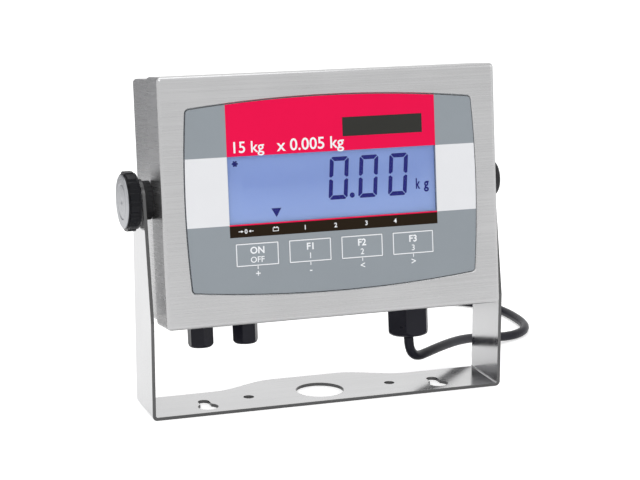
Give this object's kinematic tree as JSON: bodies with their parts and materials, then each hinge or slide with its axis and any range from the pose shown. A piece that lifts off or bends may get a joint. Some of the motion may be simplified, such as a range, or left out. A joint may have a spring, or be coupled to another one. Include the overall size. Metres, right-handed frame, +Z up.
{
  "type": "weighing indicator",
  "caption": "Stainless weighing indicator: sealed display head with keypad that tilts in a U bracket, with clamp knob, cable glands and a coiled mains lead with plug.",
  "frame": {"origin": "on the table plane, at the centre of the bracket's cable hole and of its two mounting holes", "axes": "+X to the viewer's right, +Y away from the viewer, +Z up; the display faces -Y and leans back by 6.5 degrees at rest"},
  "size_m": [0.3143, 0.3183, 0.2049],
  "materials": {
    "bracket_steel": "brushed stainless sheet",
    "housing_steel": "brushed stainless sheet",
    "panel_film": "printed polyester film",
    "key_film": "printed polyester film",
    "window_clear": "clear",
    "window_dark": "smoked",
    "lcd": "lit display glass",
    "white_plastic": "satin",
    "black_plastic": "satin",
    "black_rubber": "matt",
    "cord_rubber": "matt",
    "plug_plastic": "satin",
    "board": "solder mask",
    "chips": "moulded",
    "fastener_steel": "plain steel",
    "blackened_steel": "blackened",
    "cap_metal": "turned",
    "blade_brass": "nickel over brass",
    "terminal_plastic": "moulded",
    "transformer_tape": "wound and taped",
    "capacitor_sleeve": "shrink sleeve",
    "battery_case": "moulded",
    "ribbon_film": "flexible film",
    "lead_insulation": "insulated conductor"
  },
  "bodies": {
    "bracket": {"mounting_bracket": "bracket_steel", "power_cord_drop": "cord_rubber", "power_cord_run": "cord_rubber", "cord_coil": "cord_rubber", "cord_tail": "cord_rubber", "cord_tie": "black_plastic", "plug_body": "plug_plastic", "plug_blades": "blade_brass"},
    "housing": {"front_housing": "housing_steel", "cover_posts": "fastener_steel", "rear_housing": "housing_steel", "housing_gasket": "black_rubber", "housing_screws": "fastener_steel", "front_overlay": "panel_film", "display_window": "window_clear", "label_window": "window_dark", "lcd_frame": "black_plastic", "lcd_glass": "lcd", "lcd_backlight": "white_plastic", "main_board": "board", "board_components": "chips", "board_standoffs": "fastener_steel", "board_screws": "fastener_steel", "terminal_block": "terminal_plastic", "beeper": "black_plastic", "keypad_backing": "white_plastic", "snap_domes": "fastener_steel", "keypad_ribbon": "ribbon_film", "power_board": "board", "transformer": "transformer_tape", "capacitor": "capacitor_sleeve", "battery_pack": "battery_case", "battery_strap": "fastener_steel", "pivot_boss_left": "fastener_steel", "pivot_boss_right": "fastener_steel", "friction_washer_left": "black_rubber", "friction_washer_right": "black_rubber", "pivot_screw": "blackened_steel", "power_gland_body": "black_plastic", "power_gland_nut": "black_plastic", "power_gland_seal": "black_rubber", "gland_1_body": "black_plastic", "gland_1_nut": "black_plastic", "gland_1_plug": "black_plastic", "gland_2_body": "black_plastic", "gland_2_nut": "black_plastic", "gland_2_plug": "black_plastic", "gland_locknuts": "fastener_steel", "gland_washers": "black_rubber", "cord_inner_end": "cord_rubber", "mains_leads": "lead_insulation"},
    "knob_washer": {"knob_washer": "fastener_steel"},
    "clamp_knob": {"clamp_knob": "black_plastic", "knob_cap": "cap_metal", "knob_stud": "fastener_steel"},
    "key_1": {"key_1": "key_film"},
    "key_2": {"key_2": "key_film"},
    "key_3": {"key_3": "key_film"},
    "key_4": {"key_4": "key_film"}
  },
  "joints": [
    {"name": "housing_tilt", "type": "hinge", "parent": "bracket", "child": "housing", "pos_m": [0, 0.0045, 0.129], "axis": [1, 0, 0], "range_deg": [-83.5, 36], "deforming": ["power_cord_drop"]},
    {"name": "knob_travel", "type": "slide", "parent": "housing", "child": "knob_washer", "axis": [-1, 0, 0], "range_m": [0, 0.001]},
    {"name": "knob_turn", "type": "hinge", "parent": "knob_washer", "child": "clamp_knob", "pos_m": [0, 0.0045, 0.129], "axis": [-1, 0, 0], "range_deg": [0, 360]},
    {"name": "key_1_press", "type": "slide", "parent": "housing", "child": "key_1", "axis": [0, 0.9936, -0.1132], "range_m": [0, 0.0004], "stiffness_N_per_m": 3000},
    {"name": "key_2_press", "type": "slide", "parent": "housing", "child": "key_2", "axis": [0, 0.9936, -0.1132], "range_m": [0, 0.0004], "stiffness_N_per_m": 3000},
    {"name": "key_3_press", "type": "slide", "parent": "housing", "child": "key_3", "axis": [0, 0.9936, -0.1132], "range_m": [0, 0.0004], "stiffness_N_per_m": 3000},
    {"name": "key_4_press", "type": "slide", "parent": "housing", "child": "key_4", "axis": [0, 0.9936, -0.1132], "range_m": [0, 0.0004], "stiffness_N_per_m": 3000}
  ],
  "couplings": [
    {"joint": "knob_travel", "follows": "knob_turn", "m_per_rad": 0.00015915}
  ]
}
